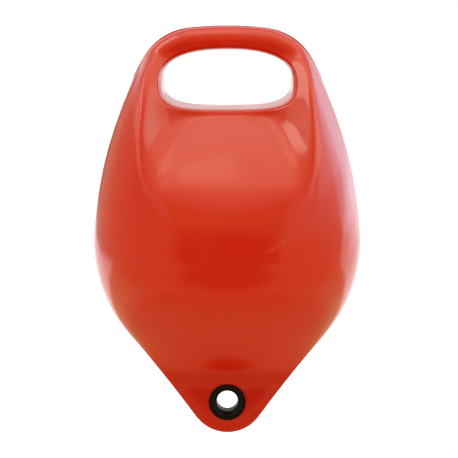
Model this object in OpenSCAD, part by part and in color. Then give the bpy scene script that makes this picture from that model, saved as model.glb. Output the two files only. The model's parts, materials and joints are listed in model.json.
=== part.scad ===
// Mooring pick-up buoy: a moulded float with a hand hole at the top and, in the flat lug
// at its foot, a two-part bush for the mooring rope.
// Millimetres. +Z is up, X runs across the front and the front faces -Y.
// The origin is on the float's axis at the waterline, where the float is widest.

/* [Float] */
// Greatest width of the float, at the waterline
float_w = 240; // [220:1:270]
// Height of the handle's top above the waterline
top_h = 192; // [180:1:215]
// Depth of the lug's tip below the waterline
tip_h = 180; // [165:1:200]
// Radius of the outline's arc at the belly
belly_r = 138; // [125:1:150]
// Radius of the outline's long shoulder arc
shoulder_r = 400; // [370:5:450]
// Radius of the outline's hollow flank above the lug
flank_r = 920; // [600:10:1500]
// Depth below the waterline where the belly starts to flatten towards the lug
flatten_h = 50; // [40:1:70]
// Rounding of the belly where the slope to the handle leaves it
belly_blend = 40; // [16:1:48]
// Rounding of the belly where the slope to the lug leaves it
keel_blend = 18; // [8:1:26]

/* [Handle] */
// Radius of the outline's arc over the grip
crown_r = 340; // [280:5:420]
// Radius of the handle's upper corners
corner_r = 55; // [48:1:62]
// Distance of a corner's centre from the middle
corner_x = 27.5; // [22:0.5:32]
// Width of the hand hole
hand_w = 112; // [95:1:120]
// Height of the hand hole
hand_h = 49; // [40:1:55]
// Squareness of the hand hole's upper half: 2 is an ellipse, more is squarer
hand_power = 2.3; // [2:0.1:3.2]
// Squareness of its lower half
sill_power = 3.6; // [2.6:0.1:4.2]
// Height of the grip bar above the hand hole
grip_h = 21.5; // [18:0.5:26]
// Thickness of the grip bar, front to back
grip_t = 30; // [24:1:36]
// Rounding of the grip's upper edge
grip_round = 13; // [8:0.5:14]
// Thickness of the sill below the hand hole
sill_t = 68; // [34:1:76]
// Height of the sill's upright edge
sill_h = 5; // [4:0.5:12]
// Rounding of the hollow between the sill's edge and the slope
sill_blend = 3.5; // [3:0.5:10]
// Rounding of the rim of the hand hole
rim_round = 5; // [3:0.5:7]
// Squareness of that rounding along the sill: 2 is round, more is a flatter shelf
shelf_power = 5; // [2:0.2:6]
// Distance of each side ridge from the middle
ridge_x = 72.5; // [68:0.5:80]
// Fall of the walls inside the ridges, depth for each unit of width
wall_slope = 1.3; // [1:0.1:2.2]
// Rounding of the ridges
ridge_blend = 12; // [6:0.5:16]
// Rise of the slope below the sill, depth for each unit of drop
ramp_slope = 1.25; // [1.1:0.05:1.7]
// Radius of that slope's crown from side to side
ramp_crown = 200; // [150:5:300]
// Rounding of the hollow along the foot of the walls
hollow_blend = 32; // [12:1:40]

/* [Lug] */
// Radius of the lug's tip, seen from the front
tip_r = 36; // [32:0.5:40]
// Thickness of the lug
lug_t = 18; // [15:0.5:22]
// Flat face left between the bush's flange and the slope above it
lug_room = 7; // [6:0.25:14]
// Rise of the slope above the lug, depth for each unit of height
keel_slope = 1.12; // [1.1:0.01:1.4]
// Rounding of the lug's edge round the eye
lug_round = 8; // [5:0.5:12]
// Growth of that rounding above the eye, for each unit of height
flank_growth = 0.42; // [0.3:0.02:0.6]
// Fullness of the flanks above the eye: 1 is a straight bevel, 2 is round
flank_power = 1.25; // [1.2:0.05:2]
// Rounding where the slope runs into the lug's face
lug_blend = 6; // [4:0.5:10]

/* [Eye bush] */
// Height of the eye's centre above the lug's tip
eye_up = 32; // [30:0.5:36]
// Bore of the bush
eye_d = 19; // [16:0.5:20]
// Outside of the bush's sleeve
sleeve_d = 26; // [24:0.5:27]
// Outside of the bush's flanges
flange_d = 33.5; // [32:0.5:36]
// Thickness of a flange at its rim
flange_t = 1.5; // [1:0.25:2.5]
// Radius of the flared mouths
flare_r = 6.4; // [5:0.1:6.6]
// Length of the lap where the two halves plug together
lap = 3; // [2:0.25:3.5]
// Clearance around the sleeve, and in the lap
bush_gap = 0.1; // [0.05:0.05:0.2]

/* [Hidden] */
$fn = 96;

// Levels of the hand hole
hand_top = top_h - grip_h;
hand_z = hand_top - hand_h / 2;
sill_z = hand_top - hand_h;
ramp_z = sill_z - sill_h;

// Half thicknesses
grip_y = grip_t / 2;
sill_y = sill_t / 2;
lug_y = lug_t / 2;

// Bush radii
eye_r = eye_d / 2;
sleeve_r = sleeve_d / 2;
flange_r = flange_d / 2;
lap_r = (eye_r + sleeve_r) / 2;
mouth_y = lug_y + flange_t;

// Levels of the eye and of the slope's foot above it, and where its rounding runs out
eye_z = eye_up - tip_h;
lug_z = eye_z + flange_r + lug_room;
lug_flat_z = lug_z - lug_blend / keel_slope;

function at(centre, r, a) = centre + r * [cos(a), sin(a)];
function angle(v) = atan2(v[1], v[0]);
function ease(x, from, to) =
    let (t = max(0, min(1, (x - from) / (to - from))))
    t * t * (3 - 2 * t);
function smooth_min(a, b, k) =
    let (h = max(k - abs(a - b), 0))
    min(a, b) - h * h / (4 * k);
function smooth_max(a, b, k) = -smooth_min(-a, -b, k);

// Where two circles meet, on the left of the way from a to b for side 1
function meet(a, ra, b, rb, side) =
    let (d = b - a, l = norm(d), m = (ra * ra - rb * rb + l * l) / (2 * l))
    a + d * m / l + side * sqrt(ra * ra - m * m) * [-d[1], d[0]] / l;

// Centres of the six tangent arcs of the outline's right half, as [x, z]
tip_c = [0, tip_r - tip_h];
belly_c = [float_w / 2 - belly_r, 0];
flank_c = meet(tip_c, tip_r + flank_r, belly_c, belly_r + flank_r, -1);
crown_c = [0, top_h - crown_r];
corner_c = [corner_x, crown_c[1] + sqrt(pow(crown_r - corner_r, 2) - corner_x * corner_x)];
shoulder_c = meet(belly_c, shoulder_r - belly_r, corner_c, shoulder_r - corner_r, 1);

// Angles at which the arcs hand over
tip_end = angle(flank_c - tip_c);
flank_start = angle(tip_c - flank_c);
flank_end = angle(belly_c - flank_c);
belly_start = angle(flank_c - belly_c);
belly_end = angle(belly_c - shoulder_c);
shoulder_end = angle(corner_c - shoulder_c);
corner_end = angle(corner_c - crown_c);

// Outline from the tip to the top: centre, radius, first angle, last angle, steps,
// and the angle round the hand hole that goes with the arc's end
CENTRE = 0;
RADIUS = 1;
FIRST = 2;
LAST = 3;
STEPS = 4;
HAND = 5;
ARCS = [
    [tip_c, tip_r, -90, tip_end, 5, -79],
    [flank_c, flank_r, flank_start, flank_end, 10, -64],
    [belly_c, belly_r, belly_start, belly_end, 11, -44],
    [shoulder_c, shoulder_r, belly_end, shoulder_end, 12, 20],
    [corner_c, corner_r, shoulder_end, corner_end, 7, 66],
    [crown_c, crown_r, corner_end, 90, 3, 90],
];

// Half width of the float at height z
tip_top = at(tip_c, tip_r, tip_end)[1];
flank_top = at(belly_c, belly_r, belly_start)[1];
belly_top = at(belly_c, belly_r, belly_end)[1];
shoulder_top = at(corner_c, corner_r, shoulder_end)[1];
corner_top = at(corner_c, corner_r, corner_end)[1];
function reach(centre, r, z, side) =
    centre[0] + side * sqrt(max(0, r * r - pow(z - centre[1], 2)));
function half_w(z) =
    z < tip_top ? reach(tip_c, tip_r, z, 1) :
    z < flank_top ? reach(flank_c, flank_r, z, -1) :
    z < belly_top ? reach(belly_c, belly_r, z, 1) :
    z < shoulder_top ? reach(shoulder_c, shoulder_r, z, 1) :
    z < corner_top ? reach(corner_c, corner_r, z, 1) :
    reach(crown_c, crown_r, z, 1);

// Depth of the round float at a point of its front view
function round_depth(x, z) = sqrt(max(0, pow(half_w(z), 2) - x * x));

// Depth of the handle's face: grip and sill, the walls inside the ridges and the slope
function ridge_depth(z) = sqrt(max(0, pow(half_w(z), 2) - ridge_x * ridge_x));
function wall_depth(x, z) = ridge_depth(z) - (ridge_x - abs(x)) * wall_slope;
function ramp_depth(x, z) = sill_y + (ramp_z - z) * ramp_slope - x * x / (2 * ramp_crown);
function handle_depth(x, z) =
    let (plate = grip_y + (sill_y - grip_y) * ease(-z, -hand_top, -sill_z))
    let (slope = smooth_max(plate, ramp_depth(x, z), sill_blend))
    smooth_max(slope, wall_depth(x, z), hollow_blend);

// Rise from 0 at an edge to 1 at the distance r from it: round for a power of 2
function rounded(s, r, power) = pow(1 - pow(1 - max(0, min(1, s / r)), power), 1 / power);

// Depth of the upper half, at the distances in and out from its rim and outline
LEAST_ROUND = 0.5;
function upper_depth(x, z, in, out) =
    let (middle = max(0, 1 - pow(x / ridge_x, 2)), below = ease(sill_z - z, 0, belly_blend))
    let (blend = ridge_blend + (belly_blend - ridge_blend) * middle * below)
    let (depth = smooth_min(round_depth(x, z), handle_depth(x, z), blend))
    let (edge = max(LEAST_ROUND, grip_round * ease(z, sill_z, hand_top)))
    let (rim_power = 2 + (shelf_power - 2) * ease(-z, -hand_z, -sill_z))
    max(0, depth) * rounded(in, rim_round, rim_power) * rounded(out, edge, 2);

// Depth of the lower half in the middle: the round belly, the slope and the lug's face
function lug_depth(z) = smooth_max(lug_y, lug_y + (z - lug_z) * keel_slope, lug_blend);
function keel_depth(z) = smooth_min(half_w(max(z, lug_z)), lug_depth(z), keel_blend);

// Level at which the slope would meet the round belly at an edge
function keel_level(tries) =
    tries == 0 ? -flatten_h : lug_z + (half_w(keel_level(tries - 1)) - lug_y) / keel_slope;
keel_z = keel_level(8);

// Distance of a point of the lower half from the outline, square to the nearest of its arcs
function side_of(p, centre, a) = cross([cos(a), sin(a)], p - centre);
function outline_gap(p) =
    side_of(p, tip_c, tip_end) < 0 ? tip_r - norm(p - tip_c) :
    side_of(p, belly_c, belly_start) > 0 ? belly_r - norm(p - belly_c) :
    norm(p - flank_c) - flank_r;

// Depth of the lower half: round at the waterline, flat with rounded edges at the lug
function lower_depth(x, z) =
    let (flat = ease(-z, flatten_h, -lug_z), w = half_w(z))
    let (gap = (1 - flat) * (w - abs(x)) + flat * outline_gap([abs(x), z]))
    let (edge = (1 - flat) * w + flat * (lug_round + flank_growth * max(0, z - eye_z)))
    let (bevelled = flat * ease(z, eye_z, lug_z))
    keel_depth(z) * rounded(gap, edge, 2 + (flank_power - 2) * bevelled);

function face_depth(x, z, in, out) = z > 0 ? upper_depth(x, z, in, out) : lower_depth(x, z);

// Hand hole's rim at the angle a
function signed_pow(v, p) = sign(v) * pow(abs(v), p);
function rim(a) =
    let (power = a < 0 ? sill_power : hand_power)
    [hand_w / 2 * signed_pow(cos(a), 2 / power), hand_z + hand_h / 2 * signed_pow(sin(a), 2 / power)];

// Right half of the spokes, tip to top, each from the rim to the outline
function hand_start(k) = k == 0 ? -90 : ARCS[k - 1][HAND];
half_spokes = [
    for (k = [0:len(ARCS) - 1])
        let (arc = ARCS[k])
        for (i = [0:arc[STEPS] - 1])
            let (t = i / arc[STEPS])
            [rim(hand_start(k) + t * (arc[HAND] - hand_start(k))),
             at(arc[CENTRE], arc[RADIUS], arc[FIRST] + t * (arc[LAST] - arc[FIRST]))],
    [[0, hand_top], [0, top_h]],
];
half_count = len(half_spokes) - 1;
function flip(p) = [-p[0], p[1]];
spokes = concat(
    half_spokes,
    [for (i = [half_count - 1:-1:1]) [for (p = half_spokes[i]) flip(p)]]
);

// Steps of each spoke over the rim's rounding, the handle's face, the belly, the slope
// below it and the edge
RIM_STEPS = 4;
FACE_STEPS = 7;
BELLY_STEPS = 6;
KEEL_STEPS = 6;
EDGE_STEPS = 7;
belly_from = RIM_STEPS + FACE_STEPS;
keel_from = belly_from + BELLY_STEPS;
edge_from = keel_from + KEEL_STEPS;
spoke_steps = edge_from + EDGE_STEPS;

// Share of a spoke at which it leaves the handle's face, on a ridge or at the slope's foot,
// and at most FACE_MOST of its length, or GRIP_MOST at the grip
SEARCH = 40;
FACE_MOST = 0.8;
GRIP_MOST = 0.6;
function on_spoke(spoke, t) = spoke[0] + t * (spoke[1] - spoke[0]);
function handle_gap(p) = round_depth(p[0], p[1]) - handle_depth(p[0], p[1]);
function face_share(spoke) =
    let (gaps = [for (i = [0:SEARCH]) handle_gap(on_spoke(spoke, i / SEARCH))])
    let (zeros = [
        for (i = [1:SEARCH])
            if (gaps[i - 1] > 0 && gaps[i] <= 0)
                (i - 1 + gaps[i - 1] / (gaps[i - 1] - gaps[i])) / SEARCH,
    ])
    let (most = FACE_MOST + (GRIP_MOST - FACE_MOST) * ease(spoke[1][1], hand_z, hand_top))
    min(most, zeros[0]);

// Share at which it passes the level z, at most LEVEL_MOST of the way on to the outline
LEVEL_MOST = 0.6;
function level_share(spoke, z, from) =
    let (drop = spoke[0][1] - spoke[1][1])
    let (share = drop > 0 ? (spoke[0][1] - z) / drop : 1)
    min(share, from + LEVEL_MOST * (1 - from));

// Distance along a spoke at step j, closer together next to each change of face
function spread(t) = (1 - cos(180 * t)) / 2;
function step_reach(j, face, belly, keel, outline) =
    j <= RIM_STEPS ? rim_round * (1 - cos(90 * j / RIM_STEPS)) :
    j <= belly_from ? rim_round + (face - rim_round) * spread((j - RIM_STEPS) / FACE_STEPS) :
    j <= keel_from ? face + (belly - face) * spread((j - belly_from) / BELLY_STEPS) :
    j <= edge_from ? belly + (keel - belly) * spread((j - keel_from) / KEEL_STEPS) :
    keel + (outline - keel) * sin(90 * (j - edge_from) / EDGE_STEPS);
function spoke_points(spoke) =
    let (l = norm(spoke[1] - spoke[0]), face = face_share(spoke))
    let (belly = level_share(spoke, keel_z, face), keel = level_share(spoke, lug_flat_z, belly))
    [for (j = [0:spoke_steps])
        let (s = step_reach(j, l * face, l * belly, l * keel, l), p = on_spoke(spoke, s / l))
        let (on_edge = j == 0 || j == spoke_steps)
        [p[0], on_edge ? 0 : -face_depth(p[0], p[1], s, l - s), p[1]]];

// Rings round the hand hole: over the front from rim to outline, and back over the rear
front_spokes = [for (spoke = spokes) spoke_points(spoke)];
front_rings = [for (j = [0:spoke_steps]) [for (points = front_spokes) points[j]]];
rear_rings = [
    for (j = [spoke_steps - 1:-1:1])
        [for (p = front_rings[j]) [p[0], -p[1], p[2]]],
];
rings = concat(front_rings, rear_rings);

// Skin over rings that close on themselves both ways, with its cuts mirrored left to right
// and front to rear
function ring_skin(rows, count) = [
    for (m = [0:rows - 1], i = [0:count - 1])
        let (n = (m + 1) % rows, k = (i + 1) % count)
        let (a = m * count + i, b = m * count + k, c = n * count + k, d = n * count + i)
        let (left = i >= count / 2, rear = m >= rows / 2)
        for (face = left == rear ? [[a, b, c], [a, c, d]] : [[a, b, d], [b, c, d]])
            face,
];

module eye_axis() {
    translate([0, 0, eye_z])
        rotate([90, 0, 0])
            children();
}

module float_body() {
    color([0.78, 0.13, 0.05])
        difference() {
            polyhedron(
                points = [for (ring = rings, p = ring) p],
                faces = ring_skin(len(rings), len(spokes))
            );
            eye_axis()
                cylinder(r = sleeve_r + bush_gap, h = 2 * lug_t, center = true);
        }
}

// Half of the bush, standing on the lug's middle plane with its flared mouth upwards
module bush_half() {
    rotate_extrude()
        difference() {
            union() {
                translate([eye_r, 0])
                    square([sleeve_r - eye_r, mouth_y]);
                translate([eye_r, lug_y])
                    square([flange_r - eye_r, flange_t]);
            }
            translate([eye_r, mouth_y - flare_r])
                difference() {
                    square(flare_r);
                    translate([flare_r, 0])
                        circle(flare_r);
                }
        }
}

// Spigot of the front half, or with the clearance the socket that takes it
module bush_lap(gap) {
    translate([0, 0, -lap])
        difference() {
            cylinder(r = lap_r + gap, h = lap);
            cylinder(r = eye_r, h = lap);
        }
}

module eye_bush_front() {
    color([0.05, 0.05, 0.05])
        eye_axis() {
            union() {
                bush_half();
                bush_lap(0);
            }
        }
}

module eye_bush_back() {
    color([0.05, 0.05, 0.05])
        eye_axis()
            difference() {
                mirror([0, 0, 1])
                    bush_half();
                bush_lap(bush_gap);
            }
}

float_body();
eye_bush_front();
eye_bush_back();
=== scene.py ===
"""Looks of a mooring pick-up buoy: a glossy red moulded float with a black two-part bush in its lug.

Metres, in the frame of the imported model: +Z up, the front faces -Y, the origin at the waterline.
"""

import json
import math

import bmesh
import bpy
from mathutils import Matrix, Vector, noise


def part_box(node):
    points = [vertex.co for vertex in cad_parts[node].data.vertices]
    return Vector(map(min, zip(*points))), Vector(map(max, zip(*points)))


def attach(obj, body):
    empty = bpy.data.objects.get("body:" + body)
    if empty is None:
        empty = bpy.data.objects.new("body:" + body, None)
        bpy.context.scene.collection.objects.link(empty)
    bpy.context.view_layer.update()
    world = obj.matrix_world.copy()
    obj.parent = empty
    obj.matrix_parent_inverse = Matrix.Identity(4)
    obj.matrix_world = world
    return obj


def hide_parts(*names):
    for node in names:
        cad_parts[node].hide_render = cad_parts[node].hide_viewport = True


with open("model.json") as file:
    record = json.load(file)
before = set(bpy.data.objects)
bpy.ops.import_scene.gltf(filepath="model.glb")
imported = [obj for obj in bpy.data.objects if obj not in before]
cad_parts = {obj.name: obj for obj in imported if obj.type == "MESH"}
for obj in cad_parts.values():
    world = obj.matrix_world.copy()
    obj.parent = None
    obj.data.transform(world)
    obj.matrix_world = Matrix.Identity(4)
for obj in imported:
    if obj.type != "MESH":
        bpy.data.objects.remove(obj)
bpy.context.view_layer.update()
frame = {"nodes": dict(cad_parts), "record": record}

MM = 0.001
WHITE = "#FFFFFF"
BLACK = "#000000"

# Places on the object, from the frame
FLOAT_LOW, FLOAT_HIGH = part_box("float_body")
FLANGE_LOW, FLANGE_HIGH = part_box("eye_bush_front")
EYE = Vector((0, 0, (FLANGE_LOW.z + FLANGE_HIGH.z) / 2))
FLANGE_R = (FLANGE_HIGH.z - FLANGE_LOW.z) / 2
MOUTH_Y = -FLANGE_LOW.y
EYE_MOUNT = next(m for m in frame["record"]["mounts"] if m["name"] == "mooring_eye")
EYE_R = EYE_MOUNT["dims"]["r_mm"] * MM

# The photograph's frame and viewing angle
PHOTO_PX = 458
MM_PER_PX = 0.9
CAMERA_ELEVATION = math.radians(9.5)
CAMERA_DISTANCE = 1.3
CAMERA_TARGET = Vector((1.5, 0, 10.5)) * MM

# Shape of the float's skin, beside what the CAD skin gives
MERGE = 0.002 * MM
JOIN_BEND = math.radians(60)
JOIN_SKEW = math.radians(80)
SMOOTH_LEVELS = 2
SEAM_W = 0.7 * MM
SEAM_DEPTH = 0.15 * MM
WAVE_LENGTH = 48 * MM
WAVE_HEIGHT = 0.55 * MM
SEAT_R = FLANGE_R + 2 * MM
SEAT_FADE = 15 * MM
DENT = Vector((116, -14, -20)) * MM
DENT_R = 7 * MM
DENT_DEPTH = 0.9 * MM

# Patterns of the float's finish, its painted shade and its painted highlight: their sizes and where
# they lie
CLOUD_SIZE = 60 * MM
LUG_TOP = -110 * MM
LUG_FADE = 14 * MM
SEAM_CORE = 0.2 * MM
# Painted shade in the seam's groove, in patches, and none above the grip
SEAM_SHADE_SIZE = 70 * MM
SEAM_SHADE_TOP = 165 * MM
SEAM_SHADE_FADE = 20 * MM
SEAM_SHADE_MOST = 0.75
# Painted highlight: a pale streak on the front, for the glint of a small wrinkle
GLINT = Vector((40, -104, 14)) * MM
GLINT_TURN = math.radians(-30)
GLINT_REACH = Vector((12, 40, 3.2)) * MM
GLINT_CORE = 0.2
FLECK_SIZE = 3 * MM
RUBBING_SIZE = 14 * MM
PEEL_SIZE = 3 * MM
PEEL_DEPTH = 0.1 * MM

# Sizes of the bush and its finish, beside those that the frame gives
SLEEVE_R = 13 * MM
PLUG_R = (EYE_R + SLEEVE_R) / 2
LUG_Y = 9 * MM
FLARE_R = 6.4 * MM
LAP = 3 * MM
BUSH_STEPS = 96
FLARE_STEPS = 10
CORNER = math.radians(40)
CORNER_EDGE = 0.45 * MM
CORNER_STEPS = 3
WEAR_SIZE = 6 * MM
GRAIN_SIZE = 0.8 * MM
GRAIN_DEPTH = 0.1 * MM

# The studio: a white floor below the lug, and walls and a ground of card that the gloss mirrors
FLOOR_SIZE = 60
FLOOR_Z = FLOAT_LOW.z - 90 * MM
FLOOR_GLOW = 0.5
CARD_Z = FLOOR_Z + 5 * MM
ROOM_X = 1.0
ROOM_FRONT = -1.0
ROOM_BACK = 0.35
LEFT_BACK = 3.0
FRONT_TOP = 1.0
LEFT_TOP = 0.42
RIGHT_TOP = 0.02
UPRIGHT = Matrix.Rotation(math.pi / 2, 4, "X")
SIDEWAYS = Matrix.Rotation(math.pi / 2, 4, "Z")

# Patches on the cards, which fade out from their core: each one's centre, reach and shade
PATCH_CORE = 0.65
FRONT_DARK = ((0, ROOM_FRONT, -0.2), (1.15, 1, 0.7), BLACK)
LEFT_DARK = ((-ROOM_X, 4.6, 0), (1, 3.2, 3.2), BLACK)
GROUND_SHADE = ((0, 0.05, CARD_Z), (0.32, 0.32, 1), "#AA9E6E")
GROUND_DARK = ((0, -0.85, CARD_Z), (0.56, 0.68, 1), BLACK)

# The lamps' colours, and the ways that they face
SKY = "#94D4FF"
DAYLIGHT = "#DCE8FF"
DOWN = (0, 0, -1)
FROM_LEFT = (1, 0, 0)
FROM_RIGHT = (-1, 0, 0)
FROM_CORNER = (0.76, 0.17, -0.98)

# The Mix node's colour sockets, by number because its other kinds share their names
MIX_A = 6
MIX_B = 7
MIX_RESULT = 2


def linear(hex_colour):
    """Linear RGBA of an sRGB hex colour."""
    parts = [int(hex_colour[i:i + 2], 16) / 255 for i in (1, 3, 5)]
    return [c / 12.92 if c <= 0.04045 else ((c + 0.055) / 1.055) ** 2.4 for c in parts] + [1]


def add_node(tree, kind, inputs=None, **settings):
    """Adds a node, with its settings, and with its inputs set or linked by name or number."""
    node = tree.nodes.new(kind)
    for name, value in settings.items():
        setattr(node, name, value)
    for key, value in (inputs or {}).items():
        if isinstance(value, bpy.types.NodeSocket):
            tree.links.new(value, node.inputs[key])
        else:
            node.inputs[key].default_value = value
    return node


def new_material(name):
    """A material with only an output node: the material, its node tree and the output's socket."""
    material = bpy.data.materials.new(name)
    material.use_nodes = True
    material.node_tree.nodes.clear()
    output = add_node(material.node_tree, "ShaderNodeOutputMaterial")
    return material, material.node_tree, output.inputs["Surface"]


def field(tree, place, centre, reach, core, turn=0):
    """1 round a centre, out to the core's share of the reach each way, and smoothly 0 at the reach."""
    about = add_node(tree, "ShaderNodeMapping",
                     {"Vector": place, "Location": centre, "Rotation": (0, turn, 0), "Scale": reach},
                     vector_type="TEXTURE")
    away = add_node(tree, "ShaderNodeVectorMath", {0: about.outputs[0]}, operation="LENGTH")
    inside = add_node(tree, "ShaderNodeMapRange",
                      {"Value": away.outputs["Value"], "From Min": core, "From Max": 1,
                       "To Min": 1, "To Max": 0}, interpolation_type="SMOOTHSTEP")
    return inside.outputs[0]


def moulded_vinyl():
    """Rotomoulded soft PVC: deep red through and through and faintly uneven in colour, with painted
    shade: a deeper red on the lug under the belly's overhang, and a dark line in the seam's groove.
    Its gloss is soft and warm face on and dulled by fine rubbing, with a painted highlight of pale
    flecks on the front for the glint of a small wrinkle."""
    material, tree, surface = new_material("moulded_vinyl_red")
    place = add_node(tree, "ShaderNodeTexCoord").outputs["Object"]
    clouding = add_node(tree, "ShaderNodeTexNoise",
                        {"Vector": place, "Scale": 1 / CLOUD_SIZE, "Detail": 2, "Roughness": 0.5})
    tint = add_node(tree, "ShaderNodeMix",
                    {"Factor": clouding.outputs[0], MIX_A: linear("#CE2006"), MIX_B: linear("#C81B05")},
                    data_type="RGBA")
    axes = add_node(tree, "ShaderNodeSeparateXYZ", {0: place})
    # Painted shade: a deeper red over the lug, for the shade under the belly's overhang
    in_lug = add_node(tree, "ShaderNodeMapRange",
                      {"Value": axes.outputs["Z"], "From Min": LUG_TOP - LUG_FADE, "From Max": LUG_TOP,
                       "To Min": 1, "To Max": 0}, interpolation_type="SMOOTHSTEP")
    lug_shaded = add_node(tree, "ShaderNodeMix",
                     {"Factor": in_lug.outputs[0], MIX_A: tint.outputs[MIX_RESULT],
                      MIX_B: linear("#BE1603")}, data_type="RGBA")

    # Painted shade: a dark line in the seam's groove, in patches, and none on the grip
    across_seam = add_node(tree, "ShaderNodeMath", {0: axes.outputs["Y"]}, operation="ABSOLUTE")
    in_seam = add_node(tree, "ShaderNodeMapRange",
                       {"Value": across_seam.outputs[0], "From Min": SEAM_CORE, "From Max": SEAM_W,
                        "To Min": 1, "To Max": 0})
    patches = add_node(tree, "ShaderNodeTexNoise",
                       {"Vector": place, "Scale": 1 / SEAM_SHADE_SIZE, "Detail": 1})
    patchy = add_node(tree, "ShaderNodeMapRange",
                      {"Value": patches.outputs[0], "From Min": 0.4, "From Max": 0.6,
                       "To Max": SEAM_SHADE_MOST})
    below_grip = add_node(tree, "ShaderNodeMapRange",
                          {"Value": axes.outputs["Z"], "From Min": SEAM_SHADE_TOP - SEAM_SHADE_FADE,
                           "From Max": SEAM_SHADE_TOP, "To Min": 1, "To Max": 0})
    in_patch = add_node(tree, "ShaderNodeMath", {0: patchy.outputs[0], 1: below_grip.outputs[0]},
                        operation="MULTIPLY")
    seam_shade = add_node(tree, "ShaderNodeMath", {0: in_seam.outputs[0], 1: in_patch.outputs[0]},
                     operation="MULTIPLY")
    seam_shaded = add_node(tree, "ShaderNodeMix",
                     {"Factor": seam_shade.outputs[0], MIX_A: lug_shaded.outputs[MIX_RESULT],
                      MIX_B: linear("#5A1108")}, data_type="RGBA")

    # Painted highlight: a pale streak for the glint of a small wrinkle, broken into flecks
    in_glint = field(tree, place, GLINT, GLINT_REACH, GLINT_CORE, GLINT_TURN)
    flecks = add_node(tree, "ShaderNodeTexNoise",
                      {"Vector": place, "Scale": 1 / FLECK_SIZE, "Detail": 3})
    fleck = add_node(tree, "ShaderNodeMapRange",
                     {"Value": flecks.outputs[0], "From Min": 0.4, "From Max": 0.65})
    glint = add_node(tree, "ShaderNodeMath", {0: in_glint, 1: fleck.outputs[0]}, operation="MULTIPLY")
    colour = add_node(tree, "ShaderNodeMix",
                      {"Factor": glint.outputs[0], MIX_A: seam_shaded.outputs[MIX_RESULT],
                       MIX_B: linear("#D0442C")}, data_type="RGBA")

    # Gloss that rubbing dulls unevenly, on the faint orange peel of the mould
    rubbing = add_node(tree, "ShaderNodeTexNoise",
                       {"Vector": place, "Scale": 1 / RUBBING_SIZE, "Detail": 5, "Roughness": 0.6})
    roughness = add_node(tree, "ShaderNodeMapRange",
                         {"Value": rubbing.outputs[0], "From Min": 0.35, "From Max": 0.75,
                          "To Min": 0.15, "To Max": 0.21})
    peel = add_node(tree, "ShaderNodeTexNoise",
                    {"Vector": place, "Scale": 1 / PEEL_SIZE, "Detail": 1})
    bump = add_node(tree, "ShaderNodeBump",
                    {"Height": peel.outputs[0], "Strength": 0.05, "Distance": PEEL_DEPTH})
    shader = add_node(tree, "ShaderNodeBsdfPrincipled",
                      {"Base Color": colour.outputs[MIX_RESULT], "Roughness": roughness.outputs[0],
                       "Normal": bump.outputs[0], "IOR": 1.5, "Specular Tint": linear("#FFF2C4")})
    tree.links.new(shader.outputs[0], surface)
    return material


def moulded_nylon():
    """Injection-moulded black nylon: nearly black, with a fine matt grain from the mould. The grain
    is drawn a few times coarser than the real one, so that it shows."""
    material, tree, surface = new_material("moulded_nylon_black")
    place = add_node(tree, "ShaderNodeTexCoord").outputs["Object"]
    wear = add_node(tree, "ShaderNodeTexNoise",
                    {"Vector": place, "Scale": 1 / WEAR_SIZE, "Detail": 3})
    tint = add_node(tree, "ShaderNodeMix",
                    {"Factor": wear.outputs[0], MIX_A: linear("#0C0504"), MIX_B: linear("#140806")},
                    data_type="RGBA")
    grain = add_node(tree, "ShaderNodeTexNoise",
                     {"Vector": place, "Scale": 1 / GRAIN_SIZE, "Detail": 2})
    bump = add_node(tree, "ShaderNodeBump",
                    {"Height": grain.outputs[0], "Strength": 0.2, "Distance": GRAIN_DEPTH})
    shader = add_node(tree, "ShaderNodeBsdfPrincipled",
                      {"Base Color": tint.outputs[MIX_RESULT], "Roughness": 0.45,
                       "Normal": bump.outputs[0], "IOR": 1.3})
    tree.links.new(shader.outputs[0], surface)
    return material


def finish_piece(bm, name, material, node):
    """Makes the bmesh a smooth object that rides on the body in a CAD node's place."""
    mesh = bpy.data.meshes.new(name)
    for face in bm.faces:
        face.smooth = True
    bm.to_mesh(mesh)
    bm.free()
    mesh.materials.append(material)
    piece = bpy.data.objects.new(name, mesh)
    bpy.context.scene.collection.objects.link(piece)
    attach(piece, "root")
    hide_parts(node)
    return piece


def hollow(distance, reach):
    """1 at no distance, falling smoothly to 0 at the reach."""
    share = min(1, distance / reach)
    return (1 - share * share) ** 2


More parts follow.
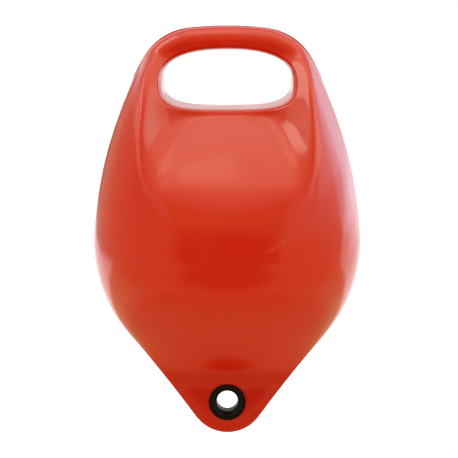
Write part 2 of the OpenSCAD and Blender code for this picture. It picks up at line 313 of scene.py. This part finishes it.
def make_float(material):
    """The float's skin: the CAD skin with its facets smoothed, a seam in the mould's parting
    plane, the slow waves of a hollow moulding and a knock on its side."""
    bm = bmesh.new()
    bm.from_mesh(frame["nodes"]["float_body"].data)
    bmesh.ops.remove_doubles(bm, verts=bm.verts, dist=MERGE)
    bmesh.ops.join_triangles(bm, faces=bm.faces, angle_face_threshold=JOIN_BEND,
                             angle_shape_threshold=JOIN_SKEW, topology_influence=1.0)
    crease = bm.edges.layers.float.new("crease_edge")
    for edge in bm.edges:
        on_bore = all((v.co - EYE).xz.length < SLEEVE_R + MM for v in edge.verts)
        edge[crease] = 1 if on_bore else 0
    parting = [e for e in bm.edges if all(abs(v.co.y) < MERGE for v in e.verts)]
    made = bmesh.ops.bevel(bm, geom=parting, offset=SEAM_W, segments=2, profile=0.5,
                           affect="EDGES", material=-1)
    bm.normal_update()
    for vert in made["verts"]:
        if abs(vert.co.y) < MERGE:
            vert.co -= vert.normal * SEAM_DEPTH
    piece = finish_piece(bm, "float_skin", material, "float_body")
    smooth = piece.modifiers.new("smooth", "SUBSURF")
    smooth.levels = smooth.render_levels = SMOOTH_LEVELS

    # The smoothed skin sinks into waves and the dent, and stays within the CAD skin's box
    bm = bmesh.new()
    bm.from_object(piece, bpy.context.evaluated_depsgraph_get())
    bm.normal_update()
    for vert in bm.verts:
        away = min(1, max(0, ((vert.co - EYE).xz.length - SEAT_R) / SEAT_FADE))
        wave = min(1, max(0, 0.5 + noise.noise(vert.co / WAVE_LENGTH)))
        sunk = WAVE_HEIGHT * wave * away + DENT_DEPTH * hollow((vert.co - DENT).length, DENT_R)
        vert.co -= vert.normal * sunk
        vert.co = [min(max(c, low), high) for c, low, high in zip(vert.co, FLOAT_LOW, FLOAT_HIGH)]
    piece.modifiers.clear()
    bm.to_mesh(piece.data)
    bm.free()


def make_bush_half(name, material, node, facing):
    """Half of the bush: a sleeve with a flange on the lug's face and a flared mouth. The front
    half, facing -1, has the spigot that plugs into the rear half's socket."""
    if facing < 0:
        profile = [
            Vector((EYE_R, LAP, 0)),
            Vector((PLUG_R, LAP, 0)),
            Vector((PLUG_R, 0, 0)),
            Vector((SLEEVE_R, 0, 0)),
        ]
    else:
        profile = [Vector((EYE_R, 0, 0)), Vector((SLEEVE_R, 0, 0))]
    profile += [
        Vector((SLEEVE_R, -LUG_Y, 0)),
        Vector((FLANGE_R, -LUG_Y, 0)),
        Vector((FLANGE_R, -MOUTH_Y, 0)),
        Vector((EYE_R + FLARE_R, -MOUTH_Y, 0)),
    ]
    bm = bmesh.new()
    verts = [bm.verts.new(co) for co in profile]
    for a, b in zip(verts, verts[1:]):
        bm.edges.new((a, b))
    flare = bmesh.ops.spin(bm, geom=[verts[-1]], cent=(EYE_R + FLARE_R, FLARE_R - MOUTH_Y, 0),
                           axis=(0, 0, 1), angle=-math.pi / 2, steps=FLARE_STEPS)
    last = next(v for v in flare["geom_last"] if isinstance(v, bmesh.types.BMVert))
    bm.edges.new((last, verts[0]))
    bmesh.ops.spin(bm, geom=bm.verts[:] + bm.edges[:], cent=(0, 0, 0), axis=(0, 1, 0),
                   angle=2 * math.pi, steps=BUSH_STEPS, use_merge=True)
    bmesh.ops.remove_doubles(bm, verts=bm.verts, dist=MERGE)
    if facing > 0:
        bmesh.ops.scale(bm, vec=(1, -1, 1), verts=bm.verts)
    bmesh.ops.translate(bm, vec=EYE, verts=bm.verts)
    bmesh.ops.recalc_face_normals(bm, faces=bm.faces)
    corners = [e for e in bm.edges if e.calc_face_angle(0) > CORNER]
    bmesh.ops.bevel(bm, geom=corners, offset=CORNER_EDGE, segments=CORNER_STEPS, profile=0.5,
                    affect="EDGES", material=-1)
    finish_piece(bm, name, material, node)


def make_camera():
    """Camera at the photograph's angle, with its lens from the photograph's scale."""
    data = bpy.data.cameras.new("camera")
    data.lens = data.sensor_width * CAMERA_DISTANCE / (PHOTO_PX * MM_PER_PX * MM)
    camera = bpy.data.objects.new("camera", data)
    back = Vector((0, -math.cos(CAMERA_ELEVATION), math.sin(CAMERA_ELEVATION)))
    camera.location = CAMERA_TARGET + back * CAMERA_DISTANCE
    camera.rotation_euler = (-back).to_track_quat("-Z", "Y").to_euler()
    bpy.context.scene.collection.objects.link(camera)
    bpy.context.scene.camera = camera


def add_lamp(name, place, facing, width, height, radiance, colour=WHITE, lights=False):
    """A softbox at a place, facing one way, of a given brightness seen straight on. It shows as a
    highlight on the gloss, and where lights is true it lights the matt colour too."""
    data = bpy.data.lights.new(name, "AREA")
    data.shape = "RECTANGLE"
    data.size = width
    data.size_y = height
    data.energy = radiance * math.pi * width * height
    data.color = linear(colour)[:3]
    lamp = bpy.data.objects.new(name, data)
    lamp.location = place
    lamp.rotation_euler = Vector(facing).to_track_quat("-Z", "Y").to_euler()
    lamp.visible_diffuse = lights
    bpy.context.scene.collection.objects.link(lamp)


def make_world():
    """White surroundings."""
    world = bpy.data.worlds.new("white_surround")
    world.use_nodes = True
    tree = world.node_tree
    tree.nodes.clear()
    light = add_node(tree, "ShaderNodeBackground", {"Color": linear(WHITE), "Strength": 1})
    output = add_node(tree, "ShaderNodeOutputWorld")
    tree.links.new(light.outputs[0], output.inputs["Surface"])
    bpy.context.scene.world = world


def make_plane(name, width, height, matrix, material):
    """A flat stage piece."""
    mesh = bpy.data.meshes.new(name)
    bm = bmesh.new()
    bmesh.ops.create_grid(bm, x_segments=1, y_segments=1, size=0.5,
                          matrix=matrix @ Matrix.Diagonal((width, height, 1, 1)))
    bm.to_mesh(mesh)
    bm.free()
    mesh.materials.append(material)
    plane = bpy.data.objects.new(name, mesh)
    bpy.context.scene.collection.objects.link(plane)
    return plane


def white_floor():
    """Matt paper that glows to the camera, in mirrors and through glass, so that it is white and
    only shadow shows. It lights the object as plain paper does."""
    material, tree, surface = new_material("white_paper")
    path = add_node(tree, "ShaderNodeLightPath")
    seen = add_node(tree, "ShaderNodeMath", {0: path.outputs["Is Camera Ray"],
                                             1: path.outputs["Is Glossy Ray"]}, operation="MAXIMUM")
    glows = add_node(tree, "ShaderNodeMath", {0: seen.outputs[0],
                                              1: path.outputs["Is Transmission Ray"]},
                     operation="MAXIMUM")
    paper = add_node(tree, "ShaderNodeBsdfDiffuse", {"Color": linear("#F6F6F6")})
    glow = add_node(tree, "ShaderNodeEmission", {"Color": linear(WHITE), "Strength": FLOOR_GLOW})
    both = add_node(tree, "ShaderNodeAddShader", {0: paper.outputs[0], 1: glow.outputs[0]})
    mix = add_node(tree, "ShaderNodeMixShader", {0: glows.outputs[0], 1: paper.outputs[0],
                                                 2: both.outputs[0]})
    tree.links.new(mix.outputs[0], surface)
    return material


def add_card(name, width, height, matrix, shade, patches=()):
    """A matt studio card with soft patches, which shows only in reflections on the gloss."""
    material, tree, surface = new_material(name)
    place = add_node(tree, "ShaderNodeTexCoord").outputs["Object"]
    colour = linear(shade)
    for centre, reach, patch_shade in patches:
        inside = field(tree, place, centre, reach, PATCH_CORE)
        mix = add_node(tree, "ShaderNodeMix",
                       {"Factor": inside, MIX_A: colour, MIX_B: linear(patch_shade)},
                       data_type="RGBA")
        colour = mix.outputs[MIX_RESULT]
    card = add_node(tree, "ShaderNodeBsdfDiffuse", {"Color": colour})
    tree.links.new(card.outputs[0], surface)
    plane = make_plane(name, width, height, matrix, material)
    plane.visible_camera = False
    plane.visible_diffuse = False
    plane.visible_shadow = False


make_camera()
vinyl = moulded_vinyl()
nylon = moulded_nylon()
make_float(vinyl)
make_bush_half("bush_front", nylon, "eye_bush_front", -1)
make_bush_half("bush_back", nylon, "eye_bush_back", 1)

make_plane("floor", FLOOR_SIZE, FLOOR_SIZE, Matrix.Translation((0, 0, FLOOR_Z)), white_floor())
front_middle = (0, ROOM_FRONT, (FRONT_TOP + CARD_Z) / 2)
left_middle = (-ROOM_X, (ROOM_FRONT + LEFT_BACK) / 2, (LEFT_TOP + CARD_Z) / 2)
right_middle = (ROOM_X, (ROOM_FRONT + ROOM_BACK) / 2, (RIGHT_TOP + CARD_Z) / 2)
ground_middle = (0, (ROOM_FRONT + ROOM_BACK) / 2, CARD_Z)
add_card("front_wall", 2 * ROOM_X, FRONT_TOP - CARD_Z,
         Matrix.Translation(front_middle) @ UPRIGHT, "#D2C48C", [FRONT_DARK])
add_card("left_wall", LEFT_BACK - ROOM_FRONT, LEFT_TOP - CARD_Z,
         Matrix.Translation(left_middle) @ SIDEWAYS @ UPRIGHT, "#CECEB0", [LEFT_DARK])
add_card("right_wall", ROOM_BACK - ROOM_FRONT, RIGHT_TOP - CARD_Z,
         Matrix.Translation(right_middle) @ SIDEWAYS @ UPRIGHT, "#E8DCB4")
add_card("room_floor", 2 * ROOM_X, ROOM_BACK - ROOM_FRONT,
         Matrix.Translation(ground_middle), "#D4CA98", [GROUND_SHADE, GROUND_DARK])

# One lamp lights the float from above. The others are highlights on it: above the handle and the
# belly, inside the right ridge, on the left flank, and cool along the right flank.
make_world()
add_lamp("top_softbox", (0.1, -0.2, 1.2), DOWN, 3.2, 1.1, 0.35, lights=True)
add_lamp("top_core", (0.45, -0.08, 1.19), DOWN, 1.6, 0.7, 0.95)
add_lamp("top_strip", (0, 0.2, 1.18), DOWN, 2.0, 0.3, 0.35)
add_lamp("top_spot", (-0.12, -0.2, 1.17), DOWN, 0.34, 0.28, 1.0)
add_lamp("corner_spot", (-0.76, -0.17, 1.08), FROM_CORNER, 0.46, 0.7, 4.6, DAYLIGHT)
add_lamp("left_high", (-1.1, -0.1, 0.62), FROM_LEFT, 1.0, 0.4, 1.2)
add_lamp("right_high", (1.1, -0.2, 0.75), FROM_RIGHT, 0.7, 0.8, 1.45)
add_lamp("side_front", (1.15, 0.42, 0.6), FROM_RIGHT, 1.24, 0.84, 1.35, SKY)
add_lamp("side_middle", (1.16, 1.0, 0.45), FROM_RIGHT, 1.2, 1.1, 1.1, SKY)
add_lamp("side_back", (1.17, 1.5, 0.35), FROM_RIGHT, 1.4, 1.3, 0.6, SKY)

bpy.context.scene.view_settings.view_transform = "Standard"
